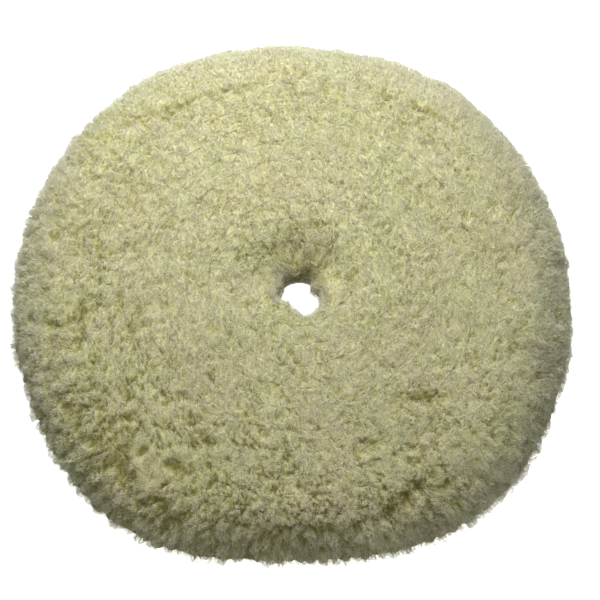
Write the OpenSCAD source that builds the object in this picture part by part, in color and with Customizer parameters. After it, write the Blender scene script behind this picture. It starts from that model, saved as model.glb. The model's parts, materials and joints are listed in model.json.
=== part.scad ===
// Single-sided wool polishing pad with a rolled edge and a hook-and-loop back.
// The back face lies on z = 0, the wool points up, and the z axis is the axis of the centre hole.

/* [Overall] */
// Diameter over the tips of the wool
pad_d = 203; // [175:1:230]
// Length of the wool pile, from the base cloth to its tips
pile_len = 18; // [12:0.5:20]
// Diameter of the centre hole through the backing
hole_d = 16; // [10:0.5:22]

/* [Backing layers] */
// Thickness of the loop fabric on the back
loop_t = 1.8; // [1.6:0.1:3]
// Thickness of each film of adhesive
adhesive_t = 0.3; // [0.1:0.1:0.5]
// Thickness of the foam cushion
foam_t = 4; // [3:0.5:5]
// Thickness of the latex that locks the roots of the yarn
latex_t = 0.5; // [0.3:0.1:1]
// Thickness of the woven base cloth
cloth_t = 1.2; // [0.8:0.1:1.5]

/* [Rolled edge] */
// Outer radius of the bend where the base cloth turns down
bend_r = 4; // [3.5:0.5:5]
// Height above the back face at which the turned-down cloth ends
skirt_z = 1.2; // [1.2:0.1:1.5]
// Thickness of the binding tape
binding_t = 0.9; // [0.6:0.1:1]
// Height of the top edges of the binding tape
binding_top = 3.4; // [3:0.1:3.4]

/* [Wool rows] */
// Number of rows of yarn on the flat of the base cloth
flat_rows = 9; // [5:1:14]
// Number of rows of yarn round the rolled edge
rim_rows = 4; // [2:1:6]
// Gap between the tops of neighbouring rows
row_gap = 0.6; // [0.4:0.1:1.2]
// Radius of the domed tips of a row, as a share of the row's width
crown_share = 0.7; // [0.6:0.05:2]
// Radius of the opening in the wool at the tips round the centre hole
mouth_r = 13.5; // [13:0.5:15]

/* [Stitching] */
// Diameter of the sewing thread
thread_d = 0.7; // [0.4:0.1:0.8]
// Length of one stitch
stitch_len = 3.2; // [2:0.1:3.4]
// Distance from one stitch to the next
stitch_pitch = 4.5; // [4.2:0.1:6]
// Radius of the seam near the edge of the loop fabric
outer_seam_r = 77; // [70:0.5:77]
// Radius of the seam round the centre hole
inner_seam_r = 12; // [12:0.5:16]

/* [Hidden] */
$fn = 120;
round_fn = 24;
cut = 1;
hole_r = hole_d / 2;
// Heights of the interfaces between the layers, counted up from the back face
foam_z = loop_t + adhesive_t;
foam_adhesive_z = foam_z + foam_t;
latex_z = foam_adhesive_z + adhesive_t;
cloth_z = latex_z + latex_t;
cloth_top = cloth_z + cloth_t;
pile_top = cloth_top + pile_len;
// The bend of the base cloth, and the rim rows, turn about this point of the section
bend_x = pad_d / 2 - pile_len - bend_r;
bend_z = cloth_top - bend_r;
skirt_out_r = bend_x + bend_r;
skirt_in_r = skirt_out_r - cloth_t;
binding_out_r = skirt_out_r + binding_t;
binding_in_r = skirt_in_r - binding_t;
loop_edge_gap = 0.4;
loop_r = binding_in_r - loop_edge_gap;
layer_r = bend_x - cut;
// The wool starts a little outside the edge of the hole, where the cloth is left bare
bare_edge = 1.2;
row_start_r = hole_r + bare_edge;
row_pitch = (bend_x - row_start_r) / flat_rows;
row_width = row_pitch - row_gap;
crown_r = crown_share * row_width;
rim_first_angle = 90;
rim_last_angle = -3;
rim_step = (rim_first_angle - rim_last_angle) / rim_rows;
rim_gap_angle = 2 * asin(row_gap / 2 / (bend_r + pile_len));
mouth_depth = 12;
mouth_slope = (mouth_r - hole_r) / mouth_depth;
groove_w = thread_d + 0.5;
groove_depth = thread_d + 0.2;
thread_z = groove_depth - thread_d / 2;
binding_seam_z = (skirt_z + binding_top) / 2;

wool_colour = [0.84, 0.82, 0.69];
cloth_colour = [0.74, 0.70, 0.58];
latex_colour = [0.90, 0.86, 0.70];
foam_colour = [0.46, 0.42, 0.24];
adhesive_colour = [0.78, 0.66, 0.36];
loop_colour = [0.90, 0.90, 0.87];
binding_colour = [0.86, 0.85, 0.80];
thread_colour = [0.95, 0.94, 0.90];

BACKING = ["loop_fabric", "loop_adhesive", "foam_cushion", "foam_adhesive", "latex_coat",
           "base_cloth", "edge_binding"];
SEAMS = ["outer_seam", "inner_seam", "binding_seam"];
row_count = flat_rows + rim_rows;

function row_name(i) = str("wool_row_", i < 10 ? "0" : "", i);

// Flat ring with the centre hole through it
module disc(radius, thickness, z) {
    translate([0, 0, z]) difference() {
        cylinder(h = thickness, r = radius);
        translate([0, 0, -cut]) cylinder(h = thickness + 2 * cut, r = hole_r);
    }
}

// Rectangle in the plane of the section, from its lowest to its highest corner
module section_box(low, high) {
    translate(low) square(high - low);
}

// Shallow circular trench in the back face, where a seam pulls the loop fabric in
module groove(radius) {
    difference() {
        translate([0, 0, -cut]) cylinder(h = groove_depth + cut, r = radius + groove_w / 2);
        translate([0, 0, -2 * cut]) cylinder(h = groove_depth + 3 * cut, r = radius - groove_w / 2);
    }
}

// Ring of separate stitches, each one straight and lying along the circle
module seam(radius, z) {
    count = floor(360 / (2 * asin(stitch_pitch / 2 / radius)));
    color(thread_colour) for (i = [0:count - 1])
        rotate(i * 360 / count) translate([radius, 0, z]) rotate([90, 0, 0])
            cylinder(h = stitch_len, d = thread_d, center = true, $fn = round_fn);
}

module loop_fabric() {
    color(loop_colour) difference() {
        disc(loop_r, loop_t, 0);
        groove(outer_seam_r);
        groove(inner_seam_r);
    }
}

module loop_adhesive() {
    color(adhesive_colour) disc(layer_r, adhesive_t, loop_t);
}

module foam_cushion() {
    color(foam_colour) disc(layer_r, foam_t, foam_z);
}

module foam_adhesive() {
    color(adhesive_colour) disc(layer_r, adhesive_t, foam_adhesive_z);
}

module latex_coat() {
    color(latex_colour) disc(layer_r, latex_t, latex_z);
}

// Flat cloth that turns down through a quarter circle into a short skirt
module base_cloth() {
    color(cloth_colour) rotate_extrude() {
        section_box([hole_r, cloth_z], [bend_x, cloth_top]);
        intersection() {
            translate([bend_x, bend_z]) difference() {
                circle(bend_r);
                circle(bend_r - cloth_t);
            }
            section_box([bend_x, bend_z], [bend_x + bend_r + cut, cloth_top + cut]);
        }
        section_box([skirt_in_r, skirt_z], [skirt_out_r, bend_z]);
    }
}

// Tape folded over the raw edge of the skirt
module edge_binding() {
    bottom_z = skirt_z - binding_t;
    color(binding_colour) rotate_extrude() {
        section_box([binding_in_r, bottom_z], [skirt_in_r, binding_top]);
        section_box([skirt_out_r, bottom_z], [binding_out_r, binding_top]);
        section_box([binding_in_r, bottom_z], [binding_out_r, skirt_z]);
    }
}

// Row i of yarn on the flat cloth, counted out from the hole, with domed tips
module flat_row(i) {
    middle = row_start_r + (i - 0.5) * row_pitch;
    inner = middle - row_width / 2;
    outer = middle + row_width / 2;
    crown_z = pile_top - crown_r;
    color(wool_colour) rotate_extrude() difference() {
        section_box([inner, cloth_top], [outer, pile_top + cut]);
        difference() {
            section_box([inner - cut, crown_z], [outer + cut, pile_top + 2 * cut]);
            translate([middle, crown_z]) circle(crown_r);
        }
    }
}

// The first row opens out at its tips, so that the mouth of the hole is a funnel
module first_row() {
    color(wool_colour) difference() {
        flat_row(1);
        translate([0, 0, pile_top - mouth_depth])
            cylinder(h = mouth_depth + cut, r1 = hole_r, r2 = mouth_r + mouth_slope * cut);
    }
}

// Row i of yarn round the bend, counted from the top, fanned out like a slice of a ring
module rim_row(i) {
    top_angle = rim_first_angle - (i - 1) * rim_step - rim_gap_angle / 2;
    low_angle = rim_first_angle - i * rim_step + rim_gap_angle / 2;
    reach = 2 * (bend_r + pile_len);
    color(wool_colour) rotate_extrude() translate([bend_x, bend_z]) intersection() {
        difference() {
            circle(bend_r + pile_len);
            circle(bend_r);
        }
        polygon([[0, 0], reach * [cos(low_angle), sin(low_angle)],
                 reach * [cos(top_angle), sin(top_angle)]]);
    }
}

module wool_row(i) {
    if (i == 1) first_row();
    else if (i <= flat_rows) flat_row(i);
    else rim_row(i - flat_rows);
}

loop_fabric();
loop_adhesive();
foam_cushion();
foam_adhesive();
latex_coat();
base_cloth();
edge_binding();
seam(outer_seam_r, thread_z);  // outer_seam
seam(inner_seam_r, thread_z);  // inner_seam
seam(binding_out_r + thread_d / 2, binding_seam_z);  // binding_seam
for (i = [1:row_count])
    wool_row(i);
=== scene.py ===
import json
import math

import bpy
import numpy as np
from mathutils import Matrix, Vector


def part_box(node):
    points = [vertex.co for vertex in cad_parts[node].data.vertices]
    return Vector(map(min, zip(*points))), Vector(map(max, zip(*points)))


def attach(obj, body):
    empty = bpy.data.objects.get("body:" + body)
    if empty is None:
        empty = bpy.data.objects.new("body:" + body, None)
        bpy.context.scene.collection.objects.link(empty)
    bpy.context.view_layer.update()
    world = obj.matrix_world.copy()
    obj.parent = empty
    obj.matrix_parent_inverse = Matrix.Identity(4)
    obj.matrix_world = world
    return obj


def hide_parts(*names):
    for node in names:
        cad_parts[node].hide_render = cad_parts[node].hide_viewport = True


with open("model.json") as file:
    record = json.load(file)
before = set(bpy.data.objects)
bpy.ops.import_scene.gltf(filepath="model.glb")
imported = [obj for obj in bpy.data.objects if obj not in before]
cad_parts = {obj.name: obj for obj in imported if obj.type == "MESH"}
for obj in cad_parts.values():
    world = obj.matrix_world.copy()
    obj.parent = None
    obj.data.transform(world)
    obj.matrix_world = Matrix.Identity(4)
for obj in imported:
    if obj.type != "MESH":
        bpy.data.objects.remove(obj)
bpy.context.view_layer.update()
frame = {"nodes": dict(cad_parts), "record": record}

# The geometry below is worked out in millimetres, and scaled once where a mesh is made.
MM = 0.001
SEED = 20

# ------------------------------------------------------------------ sizes read from the frame


def box_mm(node):
    """Low and high corner of a node of the CAD part."""
    low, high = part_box(node)
    return np.array(low) / MM, np.array(high) / MM


def bore_radius(name):
    """Radius of a mount that is a bore."""
    return next(m["dims"]["r_mm"] for m in frame["record"]["mounts"] if m["name"] == name)


ROWS = sorted(n for n in frame["nodes"] if n.startswith("wool_row_"))
HOLE_R = bore_radius("centre_hole")
CLOTH_TOP = box_mm("base_cloth")[1][2]
SKIRT_R = box_mm("base_cloth")[1][0]
PAD_R = box_mm(ROWS[-1])[1][0]
PILE = PAD_R - SKIRT_R
PILE_TOP = CLOTH_TOP + PILE
FLAT = [n for n in ROWS if box_mm(n)[0][2] > CLOTH_TOP - 0.1]
RIM = [n for n in ROWS if n not in FLAT]
# The rim rows fan out about this point of the section, where the flat of the base cloth ends
FAN_R = box_mm(FLAT[-1])[1][0]
BEND = SKIRT_R - FAN_R
FAN_Z = CLOTH_TOP - BEND
RIM_REACH = BEND + PILE
RIM_LAST = -math.asin((FAN_Z - box_mm(ROWS[-1])[0][2]) / RIM_REACH)

# ------------------------------------------------------------------ the wool: driving values

WOOL_START = HOLE_R + 0.6   # radius at which the first yarn stands beside the hole
MOUTH_R = 12.0              # radius at which the wool round the hole reaches its full height
MOUTH_Z = 8.0               # height above the cloth at which the wall of the hole starts to open out
MOUTH_LEAN = (-0.35, 1.0)   # direction of the fibres on that wall, outward and up
MOUTH_BLEND = 8.0           # how far beyond the mouth the face reaches its full unevenness
OFF_CENTRE = (-2.5, -2.2)   # how far the outline of the wool lies off the axis of the hole
DOME = 1.6                  # how far the face falls away from its middle to its rim
DOME_POWER = 2.5            # how late the fall sets in
EDGE_SHARE = 0.85           # share of the rim's reach over which it takes on its own look
COMBED = 0.35               # how much the locks round the rim are drawn out, as a share of their length
SURFACE_STEP = 0.9          # spacing of the points of the mass of wool under the tips
CORE_DEPTH = 2.0            # how far the solid mass lies under the tips
FLOOR_GAP = 0.25            # height above the floor of the lowest wool
HEEL_GAP = 1.5              # how far from the skirt the wool under the rim ends
MAX_PIECE_TRIANGLES = 190_000

LOCK_PITCH = 4.2            # distance from one soft lock of wool to the next
LOCK_SPLIT = 1.5            # width of the gap between two locks
LOCK_LEAN = 0.8             # how far the top of a lock leans over its neighbour
LOCK_HEIGHT = 0.25          # how far a lock stands up on the face
RIM_LOCK_HEIGHT = 1.1       # how much more it does so on the lower part of the rim
SMALL_PITCH = 1.9           # distance from one curl of a lock to the next
SMALL_SPLIT = 0.45          # width of the gap between two curls
CURL_HEIGHT = 0.25
WARP = 1.4                  # how far the pattern of locks is pulled about

WISP_DENSITY = 4.0          # bent wisps of fibre on each square millimetre
WISP_R = 0.075              # radius of a wisp near its root
WISP_LENGTH = 2.9           # height of a wisp from its root to its tip
WISP_SPREAD = 0.55          # how far its tip lies to one side of its root
FLUFF_DENSITY = 7.2         # short straight fibre ends on each square millimetre
FLUFF_R = 0.065             # radius of a fibre end where it is thickest
FLUFF_LENGTH = 0.85
UNDER_DENSITY = 2.2         # the density of the combed-out wool under the rim
IN_CREVICES = 0.3           # share of the fibres that is left in the deepest crevices


# ------------------------------------------------------------------ smooth noise


class Noise:
    """Smooth value noise from -1 to 1 at points in millimetres, the same on every run."""

    def __init__(self, seed, size=24):
        self.size = size
        self.lattice = np.random.default_rng(seed).uniform(-1, 1, (size, size, size))

    def __call__(self, points, wavelength):
        p = np.asarray(points) / wavelength
        cell = np.floor(p).astype(int)
        f = p - cell
        f = f * f * (3 - 2 * f)
        total = np.zeros(len(p))
        for corner in np.ndindex(2, 2, 2):
            weight = np.prod([f[:, k] if corner[k] else 1 - f[:, k] for k in range(3)], axis=0)
            i, j, k = ((cell[:, a] + corner[a]) % self.size for a in range(3))
            total += weight * self.lattice[i, j, k]
        return total


def smoothstep(x):
    """A soft step from 0 to 1 as x goes from 0 to 1."""
    x = np.clip(x, 0, 1)
    return x * x * (3 - 2 * x)


def unit(v):
    """Vectors brought to length 1."""
    return v / np.maximum(np.linalg.norm(v, axis=-1, keepdims=True), 1e-9)


height_noise = Noise(SEED + 1)
furrow_noise = Noise(SEED + 2)
mask_noise = Noise(SEED + 3)
lean_noise_x = Noise(SEED + 4)
lean_noise_y = Noise(SEED + 5)

# ------------------------------------------------------------------ the section of the pile


def section_path(step=0.25):
    """The outline of the wool in section, from the foot of the hole's wall, over the top and round
    the rim to the underside: columns are radius, height, outward normal and direction of the fibres."""
    parts = []

    def add(points, normals, fibres):
        parts.append(np.hstack([points, normals, fibres]))

    def count(length):
        return max(4, int(length / step))

    wall_lean = unit(np.array([MOUTH_LEAN]))
    n = count(MOUTH_Z)
    z = np.linspace(CLOTH_TOP + 1, CLOTH_TOP + MOUTH_Z, n)
    wall = np.column_stack([np.full(n, WOOL_START), z])
    add(wall, np.tile([-1.0, 0.0], (n, 1)), np.tile(wall_lean, (n, 1)))

    across, up = MOUTH_R - WOOL_START, PILE_TOP - CLOTH_TOP - MOUTH_Z
    a = np.linspace(math.pi, math.pi / 2, count(across + up))[1:]
    points = np.column_stack([MOUTH_R + across * np.cos(a), CLOTH_TOP + MOUTH_Z + up * np.sin(a)])
    normals = unit(np.column_stack([np.cos(a) * up, np.sin(a) * across]))
    share = ((math.pi - a) / (math.pi / 2))[:, None]
    add(points, normals, unit(wall_lean * (1 - share) + np.array([[0.0, 1.0]]) * share))

    n = count(FAN_R - MOUTH_R)
    r = np.linspace(MOUTH_R, FAN_R, n)[1:]
    upright = np.tile([0.0, 1.0], (n - 1, 1))
    add(np.column_stack([r, np.full(n - 1, PILE_TOP)]), upright, upright)

    a = np.linspace(math.pi / 2, RIM_LAST, count(RIM_REACH * 1.6))[1:]
    out = np.column_stack([np.cos(a), np.sin(a)])
    add(np.array([FAN_R, FAN_Z]) + RIM_REACH * out, out, out)

    tip = parts[-1][-1]
    heel_r = SKIRT_R + HEEL_GAP
    heel = np.array([heel_r, FAN_Z + (heel_r - FAN_R) * math.tan(RIM_LAST)])
    n = count(tip[0] - heel[0])
    t = np.linspace(0, 1, n)[1:, None]
    down = np.array([math.sin(RIM_LAST), -math.cos(RIM_LAST)])
    add(tip[:2] * (1 - t) + heel * t, np.tile(down, (n - 1, 1)), np.tile(tip[4:], (n - 1, 1)))
    return np.vstack(parts)


PATH = section_path()
PATH_S = np.concatenate([[0], np.cumsum(np.linalg.norm(np.diff(PATH[:, :2], axis=0), axis=1))])


def at(s):
    """Radius, height, normal and fibre direction of the section at arc length s."""
    return np.column_stack([np.interp(s, PATH_S, PATH[:, k]) for k in range(6)])


def arc_at(test):
    """Arc length at which a condition on the path first holds."""
    return PATH_S[np.argmax(test)]


def row_limits():
    """Arc lengths between which each row's wool lies, in the order of ROWS."""
    on_top = (PATH[:, 3] > 0.999) & (PATH[:, 0] < FAN_R + 0.1)
    limits = [0.0]
    for node in FLAT[:-1]:
        limits.append(arc_at(on_top & (PATH[:, 0] >= box_mm(node)[1][0])))
    fan_start = PATH_S[np.where(on_top)[0][-1]]
    fan_end = PATH_S[np.argmax(PATH[:, 3] < math.sin(RIM_LAST) - 0.2) - 1]
    limits += list(np.linspace(fan_start, fan_end, len(RIM) + 1))
    return limits


LIMITS = row_limits()
FAN_START, FAN_END = LIMITS[len(FLAT)], LIMITS[-1]

# ------------------------------------------------------------------ the lie of the wool

# Direction round the pad in degrees, width in degrees and height in mm of the bulges in its outline
LOBES = [
    (232, 20, 1.8), (319, 14, 1.8), (300, 10, 0.4), (126, 20, 3.8), (150, 12, 1.0), (94, 14, 1.6),
    (57, 20, 2.8), (30, 14, 0.4), (270, 22, -5.8), (6, 12, -0.8), (180, 14, -0.2), (205, 12, -0.8),
]
# Direction, width and reach in mm of the tufts that lean in over the centre hole; below 0 they lean back
HOLE_TUFTS = [
    (12, 26, 4.4), (45, 18, 1.2), (100, 36, 3.4), (82, 6, -1.0), (172, 26, 2.4), (236, 16, 1.8),
    (286, 16, -2.8), (314, 11, -1.6),
]
HOLE_BLEND = 7.0            # how far from the hole the wool gives way with those tufts
DENT = 0.5                  # share of its height that the pile loses at the hole's far side
DENT_REACH = 9.0            # how far from the hole the dent reaches
ROUGH_R, ROUGH_WIDTH = 19, 8  # radius and width of a rougher band at the hole's far side
SMOOTH_R, WORN_R = 45, 80   # between these radii the near side turns from smooth to worn
WORN_TURN = 0.4             # how far the most worn part is turned from the near side to the left
RAGGED = math.radians(228)  # direction in which the wool near the rim is most ragged
RAGGED_R = (50, 75)         # radii between which that raggedness sets in
RAGGED_FOCUS = 5            # the larger, the narrower the ragged stretch
LIP_SHADE_WIDTH = 3.5             # width of the painted shade on the lip of the hole
LIP_SHADE_TURN = 0.5              # how far the darkest painted shade on the lip is turned from the far side to the right
# Stretches of crease round the rim: first and last direction, radius at each, and depth in mm
CREASES = [
    (100, 124, 80, 82, 2.4), (122, 150, 82, 95, 2.0), (44, 70, 84, 79, 3.0), (160, 200, 80, 78, 1.2),
    (40, 60, 75, 73, 0.9), (104, 142, 92, 95, 0.8), (62, 100, 91, 92, 0.7), (112, 150, 99, 102, 0.6),
    (212, 238, 88, 94, 1.0), (250, 292, 92, 93, 1.2), (300, 330, 90, 90, 0.8), (20, 36, 88, 90, 0.7),
]
CREASE_WIDTH = 1.2
PARTING_REACH = 2.5         # how far to each side a crease parts the wool
FURROW_COUNT = 14
NEAR_SIDE = math.radians(250)  # direction round which most of the furrows lie


def random_furrows(rng):
    """Short furrows where the wool is worn: direction of each and its distance from the hole, its length,
    width and depth, and which way it runs."""
    direction = rng.normal(NEAR_SIDE, 0.9, FURROW_COUNT)
    return np.column_stack([
        direction,
        rng.uniform(0.45, 0.98, FURROW_COUNT) * PAD_R,
        rng.uniform(8, 20, FURROW_COUNT),
        rng.uniform(2.5, 6, FURROW_COUNT),
        rng.uniform(1.4, 2.6, FURROW_COUNT),
        direction + math.pi / 2 + rng.normal(0, 0.5, FURROW_COUNT),
    ])


FURROWS = random_furrows(np.random.default_rng(SEED + 7))


def bumps(angle, table):
    """The sum of the table's rounded bumps at each angle."""
    total = np.zeros_like(angle)
    for middle, width, height in table:
        off = (np.degrees(angle) - middle + 180) % 360 - 180
        total += height * np.exp(-((off / width) ** 2))
    return total


def to_points(s, angle):
    """Points, normals, fibre directions and outward directions in 3D for arc lengths and angles."""
    q = at(s)
    out = np.column_stack([np.cos(angle), np.sin(angle), np.zeros_like(angle)])
    up = np.array([0.0, 0.0, 1.0])
    points = out * q[:, :1] + up * q[:, 1:2]
    normals = out * q[:, 2:3] + up * q[:, 3:4]
    fibres = out * q[:, 4:5] + up * q[:, 5:6]
    return points, unit(normals), unit(fibres), out


def creases(points, angle):
    """Depth of the broken creases and furrows at each point, and how far they part the wool."""
    radius = np.hypot(points[:, 0], points[:, 1])
    degrees = np.degrees(angle) % 360
    wander = 1.2 * height_noise(points, 20) + 0.7 * mask_noise(points, 6)
    broken = 0.3 + 0.7 * smoothstep(0.6 + 1.5 * furrow_noise(points, 3))
    depth = np.zeros(len(points))
    parting = np.zeros(len(points))
    for first, last, start_r, end_r, deep in CREASES:
        share = (degrees - first) / (last - first)
        off = radius - start_r - (end_r - start_r) * share - wander
        deep = deep * broken * smoothstep(5 * share) * smoothstep(5 * (1 - share))
        depth += deep * np.exp(-((off / CREASE_WIDTH) ** 2))
        parting += deep * np.tanh(off) * np.exp(-np.abs(off) / PARTING_REACH)
    for way, middle, length, width, deep, run in FURROWS:
        x = points[:, 0] - middle * math.cos(way)
        y = points[:, 1] - middle * math.sin(way)
        along = x * math.cos(run) + y * math.sin(run)
        across = y * math.cos(run) - x * math.sin(run) + 0.5 * wander
        depth += deep * broken * np.exp(-((2 * along / length) ** 4) - (2 * across / width) ** 2)
    return depth, parting


LOCK_TABLE = np.random.default_rng(SEED + 6).uniform(-1, 1, (24, 24, 24, 6))
SCATTER = 0.42  # how far a lock may lie from the middle of its cell, as a share of the pitch


def nearest_locks(points, pitch):
    """Distance to the nearest and second nearest lock of wool, and three random numbers of the nearest."""
    cell = np.floor(points / pitch).astype(int)
    first = np.full(len(points), np.inf)
    second = np.full(len(points), np.inf)
    traits = np.zeros((len(points), 3))
    size = LOCK_TABLE.shape[0]
    for step in np.ndindex(3, 3, 3):
        c = cell + np.array(step) - 1
        i, j, k = (c[:, a] % size for a in range(3))
        values = LOCK_TABLE[i, j, k]
        off = (c + 0.5 + SCATTER * values[:, :3]) * pitch - points
        d = np.linalg.norm(off, axis=1)
        nearer = d < first
        second = np.where(nearer, first, np.minimum(second, d))
        traits[nearer] = values[nearer, 3:]
        first = np.where(nearer, d, first)
    return first, second, traits


def roundness(distance, pitch):
    """Height from 1 at the middle of a lock or curl down to 0 at three quarters of the pitch."""
    return 1 - (distance / (0.75 * pitch)) ** 2


def rim_chart(base, out, s):
    """Where the patterns of the wool are read: round the rim they follow the fan, drawn out along it."""
    over = np.maximum(s - FAN_START, 0)[:, None]
    fanned = out * (FAN_R + over) + [0, 0, PILE_TOP]
    return np.where(over > 0, fanned, base) - out * COMBED * over


def surface(s, angle):
    """The wool's surface at arc lengths and angles: points, normals, the way the wool lies, the direction
    that its fibres grow in, and how exposed each point is, from 0 deep in a crevice to 1 on top."""
    base, normal, fibre, out = to_points(s, angle)
    around = np.cross([0, 0, 1], out)
    along = np.cross(around, normal)
    radius = np.hypot(base[:, 0], base[:, 1])
    top = smoothstep((radius - MOUTH_R) / MOUTH_BLEND)
    edge = smoothstep((radius - FAN_R) / (EDGE_SHARE * RIM_REACH))
    hole = 1 - smoothstep((radius - WOOL_START) / HOLE_BLEND)
    far = 0.5 + 0.5 * np.sin(angle)
    lower = (0.5 - 0.5 * np.sin(angle + WORN_TURN)) * smoothstep((radius - SMOOTH_R) / (WORN_R - SMOOTH_R))
    ragged = smoothstep((radius - RAGGED_R[0]) / (RAGGED_R[1] - RAGGED_R[0]))
    ragged *= np.exp(RAGGED_FOCUS * (np.cos(angle - RAGGED) - 1))
    chart = rim_chart(base, out, s)

    height = (0.35 + 0.65 * top) * (0.4 * height_noise(chart, 14) + 0.2 * height_noise(chart + 50, 5))
    height += edge * (0.9 + 0.8 * mask_noise(chart, 8) + 0.6 * mask_noise(chart + 30, 3.5))
    crease, parting = creases(base * top[:, None], angle)
    height -= 0.5 * crease

    # Soft locks, and the curls they are made of, with gaps between them that show where the wool is rough
    warp = WARP * np.column_stack([n(chart, 3.4) for n in (lean_noise_x, lean_noise_y, mask_noise)])
    first, second, traits = nearest_locks(chart + warp, LOCK_PITCH)
    split = smoothstep((second - first) / LOCK_SPLIT)
    mound = roundness(first, LOCK_PITCH)
    small, next_small, _ = nearest_locks(chart + 0.6 * warp, SMALL_PITCH)
    gap = 1 - smoothstep((next_small - small) / SMALL_SPLIT)
    patch = 0.45 + 0.6 * furrow_noise(chart + 90, 6) + 0.9 * furrow_noise(chart + 40, 2.2)
    worn = 0.6 + 0.5 * lower + 0.5 * far * np.exp(-(((radius - ROUGH_R) / ROUGH_WIDTH) ** 2))
    worn = worn * (1 - 0.3 * edge) + 0.5 * ragged
    rough = np.clip(smoothstep(patch) * worn + 0.4 * crease, 0, 1.2)
    height += (LOCK_HEIGHT + RIM_LOCK_HEIGHT * lower * edge) * mound * (0.7 + 0.3 * traits[:, 2])
    height -= (0.15 + 0.3 * rough + 0.8 * lower * edge) * (1 - split)
    height += CURL_HEIGHT * roundness(small, SMALL_PITCH) - (0.15 + 0.7 * rough) * gap

    lie = unit(traits[:, :2] + 0.8 * np.column_stack([lean_noise_x(chart, 7), lean_noise_y(chart, 7)]))
    lie = lie[:, :1] * along + lie[:, 1:] * around
    combed = lie - (0.8 * edge + 0.5 * parting)[:, None] * along
    lift = np.clip(0.3 + 0.7 * mound, 0, 1) * split * (0.35 + 0.65 * top)
    points = base + normal * height[:, None] + LOCK_LEAN * lift[:, None] * combed

    # The large shapes: outline, tufts over the hole, dome and dent
    points += out * (edge * bumps(angle, LOBES))[:, None] + edge[:, None] * [*OFF_CENTRE, 0]
    points -= out * (hole * (bumps(angle, HOLE_TUFTS) + 0.8 * mask_noise(base, 3.0)))[:, None]
    points[:, 2] -= DOME * (radius / PAD_R) ** DOME_POWER * np.clip(normal[:, 2], 0, 1)
    dent = DENT * (0.35 + 0.65 * far) * np.exp(-(((radius - WOOL_START) / DENT_REACH) ** 2))
    points[:, 2] -= dent * (points[:, 2] - CLOTH_TOP)

    # Painted shade: the material darkens the wool where exposed is low, in the gaps between curls and the
    # splits between locks, more where the wool is rough and on the near side of the rim, and in creases and
    # on the ragged stretch
    exposed = 1 - (0.1 + 0.9 * rough) * gap - (0.08 + 0.2 * rough + 0.35 * lower * edge) * (1 - split)
    exposed -= 0.22 * crease + 0.1 * ragged
    # Painted shade: the wall of the hole is darkened towards its foot, and its lip too on the far side and
    # the right
    exposed -= hole * np.clip(1 - (base[:, 2] - CLOTH_TOP) / (0.5 * PILE), 0, 1)
    lip_shade = (0.5 + 0.5 * np.sin(angle + LIP_SHADE_TURN)) ** 2
    exposed -= 0.7 * lip_shade * np.exp(-(((radius - WOOL_START) / LIP_SHADE_WIDTH) ** 2))
    grows = unit(0.65 * normal + 0.35 * fibre)
    return points, normal, unit(combed), grows, np.clip(exposed, 0, 1)


# ------------------------------------------------------------------ wisps of fibre


def scattered(s0, s1, density, rng):
    """Arc lengths and angles spread evenly by chance over a band of the section."""
    grid = np.linspace(s0, s1, 60)
    radius = at(grid)[:, 0]
    n = int(density * 2 * math.pi * np.trapz(radius, grid))
    share = np.concatenate([[0], np.cumsum((radius[1:] + radius[:-1]) / 2)])
    s = np.interp(rng.uniform(0, share[-1], n), share, grid)
    return s, rng.uniform(0, 2 * math.pi, n)


def thinned(s, angle, rng):
    """The wool's surface at points chosen by chance, with fewer of them in the crevices."""
    values = surface(s, angle)
    keep = rng.random(len(s)) < IN_CREVICES + (1 - IN_CREVICES) * values[-1]
    return [v[keep] for v in values]


def wisp_spines(s, angle, rng):
    """Spines of wisps, three points each: rooted under the surface, bent, and ending near it."""
    point, normal, lie, grows, exposed = thinned(s, angle, rng)
    n = len(point)
    length = WISP_LENGTH * rng.uniform(0.8, 1.15, n)[:, None]
    side = np.cross(normal, lie)
    turn = rng.normal(0, 1.5, n)[:, None]
    run = np.cos(turn) * lie + np.sin(turn) * side
    spread = WISP_SPREAD * rng.uniform(0.2, 1.8, n)[:, None] * run
    tip = point + grows * rng.normal(0.0, 0.28, n)[:, None] + 0.5 * spread
    root = tip - grows * length - spread + rng.normal(0, 0.3, (n, 3))
    bend = root + (0.5 + 0.1 * rng.normal(0, 1, (n, 1))) * length * grows + rng.normal(0, 0.35, (n, 3))
    spines = np.stack([root, bend, tip], axis=1)
    spines[:, :, 2] = np.maximum(spines[:, :, 2], FLOOR_GAP)
    return spines, exposed, rng.normal(0, 1, n)


def wisp_tubes(spines, rng):
    """Three-sided tubes that taper to a point, closed at both ends."""
    n = len(spines)
    guide = unit(rng.normal(0, 1, (n, 1, 3)))
    tangents = unit(np.stack([spines[:, 1] - spines[:, 0], spines[:, 2] - spines[:, 0]], axis=1))
    u = unit(np.cross(tangents, guide))
    v = np.cross(tangents, u)
    corners = np.arange(3) * 2 * math.pi / 3
    verts = np.empty((n, 7, 3))
    for ring in range(2):
        for j, a in enumerate(corners):
            side = math.cos(a) * u[:, ring] + math.sin(a) * v[:, ring]
            verts[:, 3 * ring + j] = spines[:, ring] + WISP_R * side
    verts[:, 6] = spines[:, 2]
    faces = [(0, 2, 1)]
    for j in range(3):
        a, b = j, (j + 1) % 3
        faces += [(a, b, b + 3), (a, b + 3, a + 3), (a + 3, b + 3, 6)]
    return verts, np.array(faces)


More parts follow.
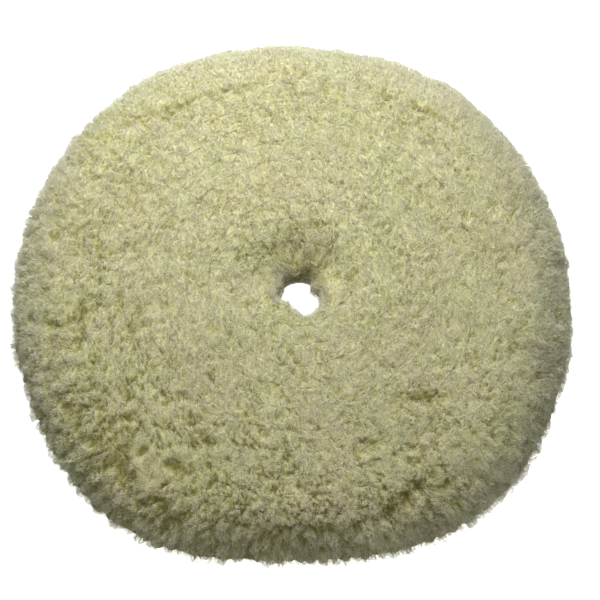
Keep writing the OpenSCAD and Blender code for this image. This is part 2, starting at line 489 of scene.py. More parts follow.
def fluff_spines(s, angle, rng):
    """Spines of short straight fibre ends, two points each, lying every way at the surface."""
    point, _, lie, grows, exposed = thinned(s, angle, rng)
    n = len(point)
    way = unit(rng.normal(0, 1, (n, 3)) + 0.5 * grows + 0.5 * lie)
    length = FLUFF_LENGTH * rng.uniform(0.5, 1.3, n)[:, None]
    middle = point + grows * rng.normal(-0.05, 0.25, n)[:, None]
    spines = np.stack([middle - 0.5 * length * way, middle + 0.5 * length * way], axis=1)
    spines[:, :, 2] = np.maximum(spines[:, :, 2], FLOOR_GAP)
    return spines, exposed, rng.normal(0, 1.4, n)


def spikes(spines, rng):
    """Three-sided spikes that taper to a point, closed at the thick end."""
    n = len(spines)
    tangent = unit(spines[:, 1] - spines[:, 0])
    u = unit(np.cross(tangent, unit(rng.normal(0, 1, (n, 3)))))
    v = np.cross(tangent, u)
    verts = np.empty((n, 4, 3))
    for j, a in enumerate(np.arange(3) * 2 * math.pi / 3):
        verts[:, j] = spines[:, 0] + FLUFF_R * (math.cos(a) * u + math.sin(a) * v)
    verts[:, 3] = spines[:, 1]
    return verts, np.array([(0, 2, 1), (0, 1, 3), (1, 2, 3), (2, 0, 3)])


# Where each vertex of a wisp or spike lies along it and across its cell of the texture map
WISP_PLACES = np.array([(0, 0.0), (0, 0.5), (0, 1.0), (0.5, 0.0), (0.5, 0.5), (0.5, 1.0), (1.0, 0.5)])
SPIKE_PLACES = np.array([(0.3, 0.0), (0.3, 0.5), (0.3, 1.0), (1.0, 0.5)])


def mesh_object(name, verts, triangles, uv=None, floats=None):
    """A smooth-shaded mesh from millimetre vertices and triangles."""
    mesh = bpy.data.meshes.new(name)
    mesh.vertices.add(len(verts))
    mesh.vertices.foreach_set("co", (np.asarray(verts) * MM).astype(np.float32).ravel())
    mesh.loops.add(3 * len(triangles))
    mesh.loops.foreach_set("vertex_index", np.asarray(triangles, np.int32).ravel())
    mesh.polygons.add(len(triangles))
    mesh.polygons.foreach_set("loop_start", np.arange(0, 3 * len(triangles), 3, dtype=np.int32))
    mesh.update(calc_edges=True)
    mesh.polygons.foreach_set("use_smooth", np.ones(len(triangles), bool))
    for key, values in (floats or {}).items():
        layer = mesh.attributes.new(key, "FLOAT", "POINT")
        layer.data.foreach_set("value", np.asarray(values, np.float32))
    if uv is not None:
        layer = mesh.uv_layers.new(name="OFBake")
        layer.data.foreach_set("uv", np.asarray(uv, np.float32).ravel())
    obj = bpy.data.objects.new(name, mesh)
    bpy.context.scene.collection.objects.link(obj)
    return obj


CORE_SHARE = 0.4  # of the height of the texture map, for the core
CORE_BANDS = 4    # strips of the map that the core's ring is cut into
CORE_LIGHT = 0.5  # how exposed the core is, as a share of the surface over it: painted shade that darkens the core


def ring_grid(turns, m):
    """Step round a closed ring and step along its outline of m points, for each of its quads, and the
    numbers of the quad's four vertices."""
    i, j = (x.ravel() for x in np.meshgrid(np.arange(turns), np.arange(m), indexing="ij"))
    over, up = (i + 1) % turns, (j + 1) % m
    return i, j, i * m + j, i * m + up, over * m + up, over * m + j


def foot(s):
    """Where the wool at this arc length is rooted, in section."""
    q = at(np.array([s]))[0]
    if q[0] < FAN_R + 0.01 and q[1] > CLOTH_TOP:
        return np.array([max(q[0], WOOL_START + 0.4), CLOTH_TOP + 0.05])
    away = q[:2] - np.array([FAN_R, FAN_Z])
    return np.array([FAN_R, FAN_Z]) + (BEND + 0.1) * away / np.linalg.norm(away)


def core_mesh(s0, s1):
    """The solid mass of one row's wool, a closed ring: vertices, triangles, map places and exposure."""
    widest = max(at(np.linspace(s0, s1, 9))[:, 0])
    turns = CORE_BANDS * math.ceil(2 * math.pi * widest / SURFACE_STEP / CORE_BANDS)
    across = max(4, math.ceil((s1 - s0) / SURFACE_STEP)) + 1
    angle = np.arange(turns) * 2 * math.pi / turns
    ss, aa = np.meshgrid(np.linspace(s0, s1, across), angle)
    points, normal, _, _, exposed = surface(ss.ravel(), aa.ravel())
    points -= normal * CORE_DEPTH
    points[:, 2] = np.maximum(points[:, 2], FLOOR_GAP)
    ring = np.column_stack([np.cos(angle), np.sin(angle)])
    feet = [np.column_stack([ring * f[0], np.full(turns, f[1])]) for f in (foot(s1), foot(s0))]
    loop = np.concatenate([points.reshape(turns, across, 3), np.stack(feet, axis=1)], axis=1)
    # Painted shade: the core is coloured darker than the surface over it, and darkest at its two feet
    core_exposed = CORE_LIGHT * exposed.reshape(turns, across)
    exposed = np.concatenate([core_exposed, np.zeros((turns, 2))], axis=1)
    m = across + 2
    i, j, a, b, c, d = ring_grid(turns, m)
    triangles = np.concatenate([np.column_stack([a, c, b]), np.column_stack([a, d, c])])
    per_band = turns // CORE_BANDS
    low_u, low_v = (i % per_band) / per_band, (i // per_band + 0.04 + 0.92 * j / m) / CORE_BANDS
    high_u, high_v = low_u + 1 / per_band, low_v + 0.92 / m / CORE_BANDS
    uv_a, uv_b = np.column_stack([low_u, low_v]), np.column_stack([low_u, high_v])
    uv_c, uv_d = np.column_stack([high_u, high_v]), np.column_stack([high_u, low_v])
    uv = np.concatenate([np.stack([uv_a, uv_c, uv_b], 1), np.stack([uv_a, uv_d, uv_c], 1)])
    return loop.reshape(-1, 3), triangles, uv * [1, CORE_SHARE], exposed.ravel()


def cells_uv(first, count, n, places, faces, share):
    """One cell of the texture map for each of n fibres, out of count, above the core's part of the map."""
    columns = math.ceil(math.sqrt(count / (1 - share)))
    rows = math.ceil(count / columns)
    number = first + np.arange(n)
    cell = np.column_stack([number % columns, number // columns])
    local = np.column_stack([0.2 + 0.6 * places[:, 1], 0.12 + 0.76 * places[:, 0]])[faces]
    uv = (cell[:, None, None, :] + local[None]) / [columns, rows]
    return (uv * [1, 1 - share] + [0, share]).reshape(-1, 3, 2)


def wool_piece(name, wisps, fluff, core, rng):
    """One piece of wool: some wisps and fibre ends and, where it is given, the mass under them. wisps and
    fluff hold spines, exposure and tint."""
    verts, triangles, uv = [], [], []
    values = {"along": [], "exposed": [], "tint": []}
    share = CORE_SHARE if core else 0
    count = len(wisps[0]) + len(fluff[0])
    start = first = 0
    kinds = ((wisps, wisp_tubes, WISP_PLACES), (fluff, spikes, SPIKE_PLACES))
    for (spines, exposed, tint), make, places in kinds:
        shapes, faces = make(spines, rng)
        n, k = shapes.shape[:2]
        verts.append(shapes.reshape(-1, 3))
        triangles.append((faces[None] + start + k * np.arange(n)[:, None, None]).reshape(-1, 3))
        uv.append(cells_uv(first, count, n, places, faces, share))
        values["along"].append(np.tile(places[:, 0], n))
        values["exposed"].append(np.repeat(exposed, k))
        values["tint"].append(np.repeat(tint, k))
        start += n * k
        first += n
    if core:
        verts.append(core[0])
        triangles.append(core[1] + start)
        uv.append(core[2])
        # Painted shade: the core is coloured as fibre near its root
        values["along"].append(np.full(len(core[0]), 0.2))
        values["exposed"].append(core[3])
        values["tint"].append(np.zeros(len(core[0])))
    return mesh_object(name, np.concatenate(verts), np.concatenate(triangles), np.concatenate(uv),
                       {key: np.concatenate(parts) for key, parts in values.items()})


def share_of(group, start, end):
    """The part of each of a group's columns between two shares of its length."""
    return [column[round(start * len(column)):round(end * len(column))] for column in group]


def make_wool(material):
    """Each row's wool, cut into as many pieces as its triangles need; the first piece holds the core."""
    for i, node in enumerate(ROWS):
        rng = np.random.default_rng(SEED + 100 + i)
        s0, s1 = LIMITS[i], LIMITS[i + 1]
        wisps = [wisp_spines(*scattered(s0, s1, WISP_DENSITY, rng), rng)]
        fluff = fluff_spines(*scattered(s0, s1, FLUFF_DENSITY, rng), rng)
        if s1 == FAN_END:
            wisps.append(wisp_spines(*scattered(s1, PATH_S[-1], UNDER_DENSITY, rng), rng))
        wisps = [np.concatenate(columns) for columns in zip(*wisps)]
        core = core_mesh(s0, PATH_S[-1] if s1 == FAN_END else s1)
        total = 10 * len(wisps[0]) + 4 * len(fluff[0]) + len(core[1])
        shares = math.ceil(total / MAX_PIECE_TRIANGLES)
        core_part = len(core[1]) / total
        cuts = [0] + [(k / shares - core_part) / (1 - core_part) for k in range(1, shares)] + [1]
        for k in range(shares):
            some = [share_of(group, cuts[k], cuts[k + 1]) for group in (wisps, fluff)]
            name = "wool_" + node[-2:] + chr(ord("a") + k)
            dress(wool_piece(name, *some, core if k == 0 else None, rng), node, material)


# ------------------------------------------------------------------ the backing: driving values

STITCH_PITCH = 4.5      # distance from one stitch to the next along a seam
STITCH_LENGTH = 3.4     # length of a stitch, with its ends that dip into the cloth
STITCH_SINK = 0.8       # how far the ends dip
PLY_SHARE = 0.27        # radius of each of the two plies, as a share of the thread's width
GROUND_Z = 0.75         # height of the knitted ground of the loop fabric, which its nap hangs below
NAP_LOOPS = 9400        # loops of nap in each of the nap's pieces
NAP_PIECES = 2
NAP_R = 0.10            # radius of the yarn of the nap
NAP_SPAN = 1.5          # distance between the feet of one loop of nap
TAPE_HEM = 0.25         # how far the hemmed edges of the binding tape stand out
TAPE_RIBS = 720         # ribs of the binding tape all the way round
TIGHT_R = 1.1           # how far from a seam the loop fabric is drawn in


# ------------------------------------------------------------------ the backing: shapes


def rounded(corners, rounding, step):
    """A closed outline through corners that are each cut by a small round, with a point every step."""
    points = []
    for k, here in enumerate(corners):
        arms = [np.array(corners[(k + d) % len(corners)], float) - here for d in (-1, 1)]
        cut = min([rounding] + [0.45 * np.linalg.norm(arm) for arm in arms])
        first, last = (here + cut * arm / np.linalg.norm(arm) for arm in arms)
        for t in np.linspace(0, 1, 4):
            points.append((1 - t) ** 2 * first + 2 * t * (1 - t) * np.array(here) + t ** 2 * last)
    path = []
    for p, q in zip(points, points[1:] + points[:1]):
        count = max(1, round(np.linalg.norm(q - p) / step))
        path += [p + (q - p) * t for t in np.arange(count) / count]
    return np.array(path)


def lathe(name, outline, turns, shape=None):
    """A closed ring: an outline in radius and height, listed from its inner lower corner outward along the
    underside, turned about the axis. shape(r, z, angle) may move its points."""
    m = len(outline)
    angle = np.repeat(np.arange(turns) * 2 * math.pi / turns, m)
    r, z = np.tile(outline[:, 0], turns), np.tile(outline[:, 1], turns)
    if shape:
        r, z = shape(r, z, angle)
    points = np.column_stack([r * np.cos(angle), r * np.sin(angle), z])
    i, j, a, b, c, d = ring_grid(turns, m)
    triangles = np.concatenate([np.column_stack([a, b, c]), np.column_stack([a, c, d])])

    # The map unrolls the outline from the middle of the map outward
    steps = np.linalg.norm(np.diff(np.vstack([outline, outline[:1]]), axis=0), axis=1)
    walked = outline[0, 0] + np.concatenate([[0], np.cumsum(steps)])

    def place(turn, step):
        theta = turn * 2 * math.pi / turns
        out = np.column_stack([np.cos(theta), np.sin(theta)])
        return 0.5 + 0.499 * walked[step, None] / walked[-1] * out

    uv_a, uv_b, uv_c, uv_d = place(i, j), place(i, j + 1), place(i + 1, j + 1), place(i + 1, j)
    uv = np.concatenate([np.stack([uv_a, uv_b, uv_c], 1), np.stack([uv_a, uv_c, uv_d], 1)])
    return mesh_object(name, points, triangles, uv)


def tubes(name, paths, radius, sides):
    """Closed round tubes along many paths of the same number of points, joined in one mesh."""
    n, k, _ = paths.shape
    tangent = unit(np.gradient(paths, axis=1))
    guide = unit(np.cross(paths[:, -1] - paths[:, 0], [0.31, 0.17, 0.93]))[:, None]
    u = unit(np.cross(tangent, guide))
    v = np.cross(tangent, u)
    a = np.arange(sides) * 2 * math.pi / sides
    circle = np.cos(a)[:, None] * u[:, :, None] + np.sin(a)[:, None] * v[:, :, None]
    verts = paths[:, :, None] + radius * circle
    last = (k - 1) * sides
    faces = [(0, j + 1, j) for j in range(1, sides - 1)]
    faces += [(last, last + j, last + j + 1) for j in range(1, sides - 1)]
    for ring in range(k - 1):
        for j in range(sides):
            p, q = ring * sides + j, ring * sides + (j + 1) % sides
            faces += [(p, q, q + sides), (p, q + sides, p + sides)]
    faces = np.array(faces)
    across = np.tile(np.linspace(0.15, 0.85, sides), k)
    along = np.repeat(np.linspace(0.1, 0.9, k), sides)
    columns = math.ceil(math.sqrt(n))
    cell = np.column_stack([np.arange(n) % columns, np.arange(n) // columns])
    uv = (cell[:, None, None, :] + np.column_stack([across, along])[faces][None]) / columns
    triangles = (faces[None] + k * sides * np.arange(n)[:, None, None]).reshape(-1, 3)
    return mesh_object(name, verts.reshape(-1, 3), triangles, uv.reshape(-1, 3, 2))


def seam_sizes(node):
    """Radius, height and thread width of a seam, and how many stitches go round it."""
    low, high = box_mm(node)
    thread = high[2] - low[2]
    radius = high[0] - thread / 2
    return radius, (low[2] + high[2]) / 2, thread, int(math.pi / math.asin(STITCH_PITCH / 2 / radius))


def dress(piece, node, material):
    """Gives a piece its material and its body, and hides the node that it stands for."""
    piece.data.materials.append(material)
    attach(piece, "root")
    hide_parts(node)
    return piece


def make_seam(node, sink_out, sink_up, material):
    """A ring of stitches of two-ply twisted thread, whose ends dip outward or upward into the cloth."""
    radius, height, thread, count = seam_sizes(node)
    t = np.linspace(-1, 1, 13)
    around = (np.arange(count) * 2 * math.pi / count)[:, None] + STITCH_LENGTH / 2 / radius * t
    sink = STITCH_SINK * np.abs(t) ** 4
    ply = PLY_SHARE * thread
    plies = []
    for start in (0, math.pi):
        twist = start + 2.2 * math.pi * t
        out = radius + sink_out * sink + 0.9 * ply * np.cos(twist)
        up = height + sink_up * sink + 0.9 * ply * np.sin(twist) + 0 * around
        plies.append(np.stack([out * np.cos(around), out * np.sin(around), up], axis=2))
    return dress(tubes(node + "_thread", np.concatenate(plies), ply, 6), node, material)


def make_loop_fabric(material, nap_material):
    """The knitted ground, drawn in along its two seams, and the nap of small loops that hooks hold."""
    seams = [seam_sizes("outer_seam"), seam_sizes("inner_seam")]
    high = box_mm("loop_fabric")[1]

    def shape(r, z, angle):
        below = z < GROUND_Z + 0.2
        for seam_r, _, _, count in seams:
            tight = 0.65 + 0.35 * np.cos(count * angle)
            z = z + below * 0.45 * tight * np.exp(-(((r - seam_r) / TIGHT_R) ** 2))
        spot = np.column_stack([r * np.cos(angle), r * np.sin(angle), 0 * r])
        z = z + below * 0.06 * height_noise(spot, 6)
        return r + 0.15 * height_noise(spot, 4) * (r > high[0] - 1), z

    inner, outer = HOLE_R + 0.1, high[0] - 0.2
    corners = [(inner, GROUND_Z), (outer, GROUND_Z), (outer, high[2]), (inner, high[2])]
    cloth = lathe("loop_ground", rounded(corners, 0.35, 1.2), 540, shape)
    dress(cloth, "loop_fabric", material)

    for k in range(NAP_PIECES):
        rng = np.random.default_rng(SEED + 300 + k)
        radius = np.sqrt(rng.uniform((HOLE_R + 0.9) ** 2, (high[0] - 0.9) ** 2, NAP_LOOPS))
        for seam_r, _, thread, _ in seams:
            near = np.abs(radius - seam_r) < thread
            radius[near] += np.sign(radius[near] - seam_r) * thread
        angle = rng.uniform(0, 2 * math.pi, NAP_LOOPS)
        root_z = np.full(NAP_LOOPS, GROUND_Z + 0.1)
        root = np.column_stack([radius * np.cos(angle), radius * np.sin(angle), root_z])
        turn = rng.normal(0, 0.9, NAP_LOOPS) + math.pi * rng.integers(0, 2, NAP_LOOPS)
        run = np.column_stack([np.cos(turn), np.sin(turn), 0 * turn]) * NAP_SPAN / 2
        lean = rng.normal(0, 0.25, (NAP_LOOPS, 3)) * [1, 1, 0]
        drop = lean - (root_z - NAP_R)[:, None] * [0, 0, 1] * rng.uniform(0.6, 0.98, (NAP_LOOPS, 1))
        paths = np.stack([root - run, root - 0.55 * run + drop, root + 0.55 * run + drop, root + run], 1)
        nap = tubes("loop_nap_" + str(k + 1), paths, NAP_R, 3)
        dress(nap, "loop_fabric", nap_material)


def make_layer(node, name, material, rounding, waver, turns=360):
    """A flat layer that fills its node, with soft edges that waver a little."""
    low, high = box_mm(node)

    def shape(r, z, angle):
        spot = np.column_stack([r * np.cos(angle), r * np.sin(angle), 3 * z])
        outer_edge, inner_edge = r > high[0] - 1, r < HOLE_R + 1
        r = r + waver * (outer_edge | inner_edge) * height_noise(spot, 5)
        return r - waver * outer_edge + waver * inner_edge, z

    corners = [(HOLE_R, low[2]), (high[0], low[2]), (high[0], high[2]), (HOLE_R, high[2])]
    outline = rounded(corners, rounding, 1.5)
    return dress(lathe(name, outline, turns, shape), node, material)


def make_base_cloth(material):
    """The woven cloth that the wool is tufted into, turned down round the edge into a short skirt."""
    low = box_mm("base_cloth")[0]
    cloth_low = box_mm("latex_coat")[1][2]
    thick = CLOTH_TOP - cloth_low

    def bend(radius, start, end):
        a = np.radians(np.linspace(start, end, 9))
        return [(FAN_R + radius * math.cos(t), FAN_Z + radius * math.sin(t)) for t in a]

    inner = HOLE_R + 0.1
    corners = [(inner, cloth_low)] + bend(BEND - thick, 90, 0)
    corners += [(SKIRT_R - thick, low[2]), (SKIRT_R, low[2])] + bend(BEND, 0, 90) + [(inner, CLOTH_TOP)]

    def shape(r, z, angle):
        spot = np.column_stack([r * np.cos(angle), r * np.sin(angle), z])
        wavy = height_noise(spot, 7) * (z < FAN_Z) + mask_noise(spot, 1.5) * (r < HOLE_R + 1)
        return r + 0.12 * wavy, z

    cloth = lathe("tufting_cloth", rounded(corners, 0.3, 1.2), 480, shape)
    dress(cloth, "base_cloth", material)


def make_binding(material):
    """The tape folded over the skirt's raw edge, with hemmed edges, drawn in at each stitch."""
    low, high = box_mm("edge_binding")
    skirt_z = box_mm("base_cloth")[0][2]
    thick = skirt_z - low[2]
    cloth = CLOTH_TOP - box_mm("latex_coat")[1][2]
    outer, inner = high[0], SKIRT_R - cloth - thick
    _, seam_z, _, count = seam_sizes("binding_seam")
    hem_low, hem_top = high[2] - 0.9, high[2] - 0.5
    corners = [
        (inner, low[2]), (outer, low[2]), (outer, hem_low), (outer + TAPE_HEM, hem_top),
        (outer + TAPE_HEM, high[2]), (SKIRT_R, high[2]), (SKIRT_R, skirt_z), (SKIRT_R - cloth, skirt_z),
        (SKIRT_R - cloth, high[2]), (inner - TAPE_HEM, high[2]), (inner - TAPE_HEM, hem_top),
        (inner, hem_low),
    ]

    def shape(r, z, angle):
        tight = np.exp(-(((z - seam_z) / 0.9) ** 2)) * (0.6 + 0.4 * np.cos(count * angle))
        pucker = 0.12 * np.cos(count * angle + 0.6 * np.sin(7 * angle)) * np.abs(z - seam_z) / 2
        return r - 0.3 * tight * (r > outer - 0.3) + pucker * (r > outer - 0.3), z

    tape = lathe("binding_tape", rounded(corners, 0.3, 0.5), 1440, shape)
    dress(tape, "edge_binding", material)


def make_backing():
    """Everything under the wool, from the cloth that it is tufted into down to the loop face."""
    thread = thread_material()
    glue = glue_material()
    make_layer("loop_adhesive", "loop_adhesive_film", glue, 0.1, 0.35)
    make_layer("foam_adhesive", "foam_adhesive_film", glue, 0.1, 0.35)
    make_layer("latex_coat", "latex_film", latex_material(), 0.2, 0.25)
    foam = make_layer("foam_cushion", "foam_ring", foam_material(), 0.5, 0.2, 540)
    make_base_cloth(cloth_material())
    make_binding(tape_material())
    make_loop_fabric(knit_material(), nap_material())
    make_seam("outer_seam", 0, 1, thread)
    make_seam("inner_seam", 0, 1, thread)
    make_seam("binding_seam", -1, 0, thread)


# ------------------------------------------------------------------ materials


def new_material(name):
    """A material with nodes, its tree and its main shader."""
    material = bpy.data.materials.new(name)
    material.use_nodes = True
    tree = material.node_tree
    return material, tree, tree.nodes["Principled BSDF"]


def attribute(tree, name):
    """A value that the mesh holds at each vertex."""
    node = tree.nodes.new("ShaderNodeAttribute")
    node.attribute_name = name
    return node.outputs["Fac"]


def noise(tree, scale, detail=2.0):
    """Noise texture by object position, in cycles per metre."""
    place = tree.nodes.new("ShaderNodeTexCoord")
    node = tree.nodes.new("ShaderNodeTexNoise")
    node.inputs["Scale"].default_value = scale
    node.inputs["Detail"].default_value = detail
    tree.links.new(place.outputs["Object"], node.inputs["Vector"])
    return node.outputs["Fac"]


def ramp(tree, source, stops):
    """Colours at places from 0 to 1."""
    node = tree.nodes.new("ShaderNodeValToRGB")
    elements = node.color_ramp.elements
    while len(elements) < len(stops):
        elements.new(0.5)
    for element, (place, colour) in zip(elements, stops):
        element.position = place
        element.color = (*colour, 1)
    tree.links.new(source, node.inputs["Fac"])
    return node.outputs["Color"]


def mix(tree, factor, a, b, blend="MIX"):
    """Mixes two colours, each given as a socket or as three numbers."""
    node = tree.nodes.new("ShaderNodeMix")
    node.data_type = "RGBA"
    node.blend_type = blend
    given = {"Factor": factor, "A": a, "B": b}
    for socket, value in ((node.inputs[key], value) for key, value in given.items()):
        if isinstance(value, bpy.types.NodeSocket):
            tree.links.new(value, socket)
        elif isinstance(value, (int, float)):
            socket.default_value = value
        else:
            socket.default_value = (*value, 1)
    return [o for o in node.outputs if o.type == "RGBA"][0]


def scaled(tree, source, times, plus):
    """A value times one number plus another."""
    node = tree.nodes.new("ShaderNodeMath")
    node.operation = "MULTIPLY_ADD"
    tree.links.new(source, node.inputs[0])
    node.inputs[1].default_value = times
    node.inputs[2].default_value = plus
    return node.outputs[0]


WOOL_CREAM = (0.835, 0.83, 0.62)
WOOL_GREENISH = (0.82, 0.835, 0.60)
WOOL_BEIGE = (0.845, 0.82, 0.625)
WOOL_CREVICE_SHADE = (0.37, 0.35, 0.14)    # painted shade: what is left of the colour deep in a crevice
WOOL_SHADE = (0.73, 0.71, 0.49)   # and half way down
WOOL_ROOT_SHADE = (0.7, 0.68, 0.6)      # painted shade at the root of a fibre
WOOL_GAP_SHADE = (0.36, 0.34, 0.20)     # painted shade in the finest gaps between fibres
WHITE = (1, 1, 1)


def wool_material():
    """Cream wool with paler and greener patches, and painted shade: olive in crevices, creases and down the
    hole, greyer towards the roots of the fibres, and in fine specks between fibres, with painted highlights
    on the brightest specks.
    """
    material, tree, shader = new_material("wool")
    patches = ramp(tree, noise(tree, 45, 3), [(0.35, WOOL_GREENISH), (0.5, WOOL_CREAM), (0.68, WOOL_BEIGE)])
    # Painted shade in the finest gaps between fibres, and a painted highlight on the brightest specks; the
    # mask on the next line gathers them into patches
    gaps = ramp(tree, noise(tree, 2400, 2), [(0.36, WOOL_GAP_SHADE), (0.46, WHITE), (0.65, (1.12, 1.12, 1.12))])
    gap_shade_mask = ramp(tree, noise(tree, 260, 3), [(0.40, (0.35, 0.35, 0.35)), (0.58, WHITE)])
    # Painted shade: olive and darker where the wool is less exposed
    depth = ramp(tree, attribute(tree, "exposed"), [(0.0, WOOL_CREVICE_SHADE), (0.35, WOOL_SHADE), (0.7, WHITE)])
    # Painted shade: greyer towards the root of each fibre
    tips = ramp(tree, attribute(tree, "along"), [(0.0, WOOL_ROOT_SHADE), (0.9, WHITE)])
    colour = mix(tree, 1.0, patches, depth, "MULTIPLY")
    colour = mix(tree, 1.0, colour, tips, "MULTIPLY")
    varied = tree.nodes.new("ShaderNodeHueSaturation")
    tree.links.new(colour, varied.inputs["Color"])
    tree.links.new(scaled(tree, attribute(tree, "tint"), 0.07, 1.0), varied.inputs["Value"])
    colour = mix(tree, gap_shade_mask, varied.outputs["Color"], gaps, "MULTIPLY")
    tree.links.new(colour, shader.inputs["Base Color"])
    shader.inputs["Roughness"].default_value = 0.9
    shader.inputs["Specular IOR Level"].default_value = 0.15
    shader.inputs["Sheen Weight"].default_value = 0.3
    shader.inputs["Sheen Roughness"].default_value = 0.5
    return material


def bump(tree, shader, height, depth_mm):
    """Relief of a given depth."""
    node = tree.nodes.new("ShaderNodeBump")
    node.inputs["Distance"].default_value = depth_mm * MM
    tree.links.new(height, node.inputs["Height"])
    tree.links.new(node.outputs["Normal"], shader.inputs["Normal"])


def axis_value(tree, axis):
    """Object position along X, Y or Z in metres, or the angle round the pad."""
    place = tree.nodes.new("ShaderNodeTexCoord")
    split = tree.nodes.new("ShaderNodeSeparateXYZ")
    tree.links.new(place.outputs["Object"], split.inputs[0])
    if axis != "ANGLE":
        return split.outputs[axis]
    node = tree.nodes.new("ShaderNodeMath")
    node.operation = "ARCTAN2"
    tree.links.new(split.outputs["Y"], node.inputs[0])
    tree.links.new(split.outputs["X"], node.inputs[1])
    return node.outputs[0]


def math_node(tree, operation, a, b=None):
    """One sum of one or two values, each a socket or a number."""
    node = tree.nodes.new("ShaderNodeMath")
    node.operation = operation
    for socket, value in zip(node.inputs, (a, b)):
        if isinstance(value, bpy.types.NodeSocket):
            tree.links.new(value, socket)
        elif value is not None:
            socket.default_value = value
    return node.outputs[0]


def ribs(tree, axis, per_unit, wobble=0.0):
    """Ribs along an axis, from 0 between them to 1 on top, each a little off straight."""
    phase = scaled(tree, axis_value(tree, axis), 2 * math.pi * per_unit, 0)
    if wobble:
        phase = math_node(tree, "ADD", phase, scaled(tree, noise(tree, 120, 2), wobble, 0))
    return scaled(tree, math_node(tree, "SINE", phase), 0.5, 0.5)


def weave(tree, threads_per_metre, wobble=1.5):
    """Plain weave: threads that pass over and under each other, from 0 to 1."""
    x = scaled(tree, ribs(tree, "X", threads_per_metre / 2, wobble), 2, -1)
    y = scaled(tree, ribs(tree, "Y", threads_per_metre / 2, wobble), 2, -1)
    return scaled(tree, math_node(tree, "MULTIPLY", x, y), 0.5, 0.5)


def cloth_like(name, hollow_shade, light, pattern, depth_mm, roughness):
    """A cloth with painted shade in the hollows between its threads, which are lighter on top, with stains
    and fuzz at larger and smaller scales.
    """
    material, tree, shader = new_material(name)
    height = pattern(tree)
    # Painted shade: from the first colour in the hollows of the pattern to the second on its tops
    colour = ramp(tree, height, [(0.1, hollow_shade), (0.7, light)])
    colour = mix(tree, 0.35, colour, scaled(tree, noise(tree, 60, 3), 0.5, 0.72), "MULTIPLY")
    colour = mix(tree, 0.4, colour, scaled(tree, noise(tree, 2600, 2), 0.8, 0.6), "MULTIPLY")
    tree.links.new(colour, shader.inputs["Base Color"])
    tree.links.new(scaled(tree, noise(tree, 400, 2), 0.2, roughness - 0.1), shader.inputs["Roughness"])
    shader.inputs["Specular IOR Level"].default_value = 0.2
    shader.inputs["Sheen Weight"].default_value = 0.25
    fuzz = scaled(tree, noise(tree, 2600, 2), 0.3, 0)
    bump(tree, shader, math_node(tree, "ADD", height, fuzz), depth_mm)
    return material


def cloth_material():
    """Plain cream cotton weave."""
    hollow_shade, light = (0.36, 0.31, 0.20), (0.70, 0.64, 0.48)
    return cloth_like("tufting_cloth", hollow_shade, light, lambda t: weave(t, 1250), 0.25, 0.9)


def tape_material():
    """Tape with ribs across it."""
    hollow_shade, light = (0.50, 0.48, 0.42), (0.80, 0.78, 0.71)
    per_radian = TAPE_RIBS / (2 * math.pi)
    return cloth_like("binding_tape", hollow_shade, light, lambda t: ribs(t, "ANGLE", per_radian), 0.15, 0.8)


def knit_material():
    """The pale grey ground of the loop fabric."""
    hollow_shade, light = (0.42, 0.42, 0.39), (0.78, 0.78, 0.74)
    return cloth_like("loop_ground", hollow_shade, light, lambda t: weave(t, 900, 3.0), 0.2, 0.85)


def nap_material():
    """The smoother yarn of its loops."""
    material, tree, shader = new_material("loop_nap")
    tone = ramp(tree, noise(tree, 500, 2), [(0.3, (0.66, 0.66, 0.62)), (0.7, (0.88, 0.88, 0.85))])
    colour = mix(tree, 0.35, tone, scaled(tree, noise(tree, 60, 3), 0.5, 0.72), "MULTIPLY")
    tree.links.new(colour, shader.inputs["Base Color"])
    shader.inputs["Roughness"].default_value = 0.55
    shader.inputs["Sheen Weight"].default_value = 0.2
    return material


def thread_material():
    """Off-white sewing thread."""
    material, tree, shader = new_material("thread")
    tone = ramp(tree, noise(tree, 3000, 2), [(0.3, (0.62, 0.60, 0.53)), (0.65, (0.90, 0.88, 0.82))])
    tree.links.new(tone, shader.inputs["Base Color"])
    tree.links.new(scaled(tree, noise(tree, 3000, 2), 0.3, 0.35), shader.inputs["Roughness"])
    shader.inputs["Sheen Weight"].default_value = 0.2
    bump(tree, shader, noise(tree, 5000, 2), 0.05)
    return material


def foam_material():
    """Dark olive foam with fine open cells, with painted shade in the pits of the cells."""
    material, tree, shader = new_material("foam")
    place = tree.nodes.new("ShaderNodeTexCoord")
    cells = tree.nodes.new("ShaderNodeTexVoronoi")
    cells.inputs["Scale"].default_value = 1600
    tree.links.new(place.outputs["Object"], cells.inputs["Vector"])
    depth = cells.outputs["Distance"]
    # Painted shade: darker towards the middle of each cell, where its pit is deepest
    tone = ramp(tree, depth, [(0.05, (0.05, 0.043, 0.014)), (0.5, (0.20, 0.172, 0.058))])
    colour = mix(tree, 0.5, tone, scaled(tree, noise(tree, 200, 3), 0.9, 0.55), "MULTIPLY")
    tree.links.new(colour, shader.inputs["Base Color"])
    tree.links.new(scaled(tree, noise(tree, 900, 2), 0.25, 0.7), shader.inputs["Roughness"])
    bump(tree, shader, depth, 0.3)
    return material


def glue_material():
    """Amber, slightly glossy adhesive."""
    material, tree, shader = new_material("adhesive")
    tone = ramp(tree, noise(tree, 250, 3), [(0.3, (0.42, 0.26, 0.07)), (0.7, (0.62, 0.44, 0.16))])
    tree.links.new(tone, shader.inputs["Base Color"])
    tree.links.new(scaled(tree, noise(tree, 500, 2), 0.3, 0.2), shader.inputs["Roughness"])
    shader.inputs["Coat Weight"].default_value = 0.3
    bump(tree, shader, noise(tree, 600, 2), 0.15)
    return material


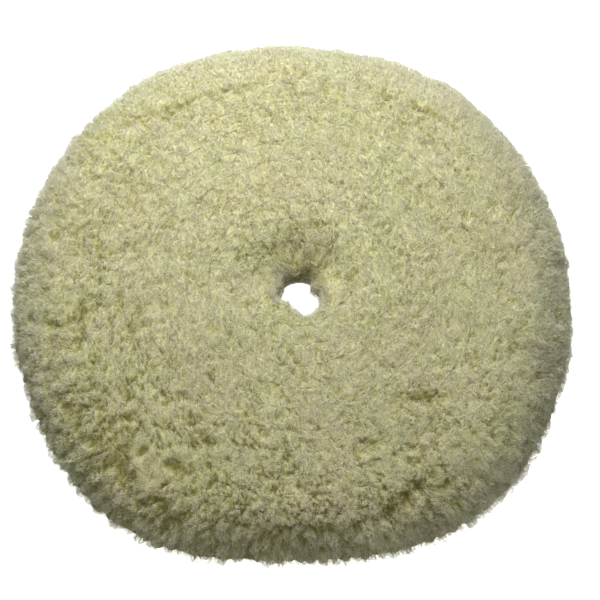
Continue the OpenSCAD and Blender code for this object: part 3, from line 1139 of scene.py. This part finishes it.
def latex_material():
    """Cream latex, brushed on unevenly."""
    material, tree, shader = new_material("latex")
    tone = ramp(tree, noise(tree, 300, 3), [(0.3, (0.62, 0.54, 0.32)), (0.7, (0.80, 0.74, 0.50))])
    tree.links.new(tone, shader.inputs["Base Color"])
    tree.links.new(scaled(tree, noise(tree, 700, 2), 0.3, 0.4), shader.inputs["Roughness"])
    bump(tree, shader, noise(tree, 900, 3), 0.2)
    return material


def floor_material():
    """White from above, and clear from below, so that the underside can be seen."""
    material, tree, shader = new_material("floor")
    shader.inputs["Base Color"].default_value = (0.9, 0.9, 0.9, 1)
    shader.inputs["Roughness"].default_value = 0.9
    shader.inputs["Emission Color"].default_value = (1, 1, 1, 1)
    shader.inputs["Emission Strength"].default_value = 1.0
    side = tree.nodes.new("ShaderNodeNewGeometry")
    clear = tree.nodes.new("ShaderNodeBsdfTransparent")
    choice = tree.nodes.new("ShaderNodeMixShader")
    tree.links.new(side.outputs["Backfacing"], choice.inputs["Fac"])
    tree.links.new(shader.outputs["BSDF"], choice.inputs[1])
    tree.links.new(clear.outputs["BSDF"], choice.inputs[2])
    tree.links.new(choice.outputs[0], tree.nodes["Material Output"].inputs["Surface"])
    return material


# ------------------------------------------------------------------ studio

ELEVATION = math.radians(69)       # of the camera above the ground
DISTANCE = 4.0 * 2 * PAD_R * MM
TARGET = (0.0002, -0.0031, 0.013)  # the point that the camera looks at
PAD_SHARE = 0.93667                # share of the picture's width that the pad takes up
SENSOR = 36
WORLD_LIGHT = 0.24                 # strength of the backdrop's light on the object
FLOOR_SIZE = 4.0
FLOOR_DROP = 0.0004                # how far below the pad the floor lies


def make_camera():
    """A camera that looks down at the pad from the front."""
    data = bpy.data.cameras.new("camera")
    camera = bpy.data.objects.new("camera", data)
    bpy.context.scene.collection.objects.link(camera)
    bpy.context.scene.camera = camera
    data.sensor_width = SENSOR
    data.lens = SENSOR * PAD_SHARE * DISTANCE / (2 * PAD_R * MM)
    back = Vector((0, -math.cos(ELEVATION), math.sin(ELEVATION)))
    camera.location = Vector(TARGET) + back * DISTANCE
    camera.rotation_euler = (-back).to_track_quat("-Z", "Y").to_euler()
    data.clip_start = 0.05
    data.clip_end = 20


def area_light(name, place, size, power):
    """A square white light that shines at the pad."""
    data = bpy.data.lights.new(name, "AREA")
    data.size = size
    data.energy = power
    light = bpy.data.objects.new(name, data)
    light.location = place
    light.rotation_euler = (-Vector(place)).to_track_quat("-Z", "Y").to_euler()
    bpy.context.scene.collection.objects.link(light)


def make_floor():
    """A white floor that neither lights the pad nor hides the lights from it."""
    size = FLOOR_SIZE / MM
    corners = [(-size, -size, 0), (size, -size, 0), (size, size, 0), (-size, size, 0)]
    floor = mesh_object("floor", np.array(corners), np.array([(0, 1, 2), (0, 2, 3)]))
    floor.location.z = -FLOOR_DROP
    floor.data.materials.append(floor_material())
    floor.visible_diffuse = False
    floor.visible_shadow = False


def make_world():
    """A backdrop that is white to the camera, and lights the object only softly."""
    world = bpy.data.worlds.new("world")
    bpy.context.scene.world = world
    world.use_nodes = True
    background = world.node_tree.nodes["Background"]
    background.inputs["Color"].default_value = (1, 1, 1, 1)
    rays = world.node_tree.nodes.new("ShaderNodeLightPath")
    strength = scaled(world.node_tree, rays.outputs["Is Camera Ray"], 1 - WORLD_LIGHT, WORLD_LIGHT)
    world.node_tree.links.new(strength, background.inputs["Strength"])


def make_studio():
    """Camera, floor, backdrop and lights."""
    make_camera()
    make_floor()
    make_world()
    area_light("key", (-0.03, 0.20, 0.30), 0.20, 1.9)
    area_light("fill", (0.0, -0.3, 1.2), 0.9, 2.35)
    area_light("front", (0, -1.0, 0.35), 0.8, 1.6)
    # Stands for the light that a white floor would throw back
    area_light("bounce", (0, -0.1, -0.6), 0.8, 5.0)
    bpy.context.scene.view_settings.view_transform = "Standard"
    bpy.context.scene.cycles.max_bounces = 16
    bpy.context.scene.cycles.diffuse_bounces = 12


make_studio()
make_wool(wool_material())
make_backing()
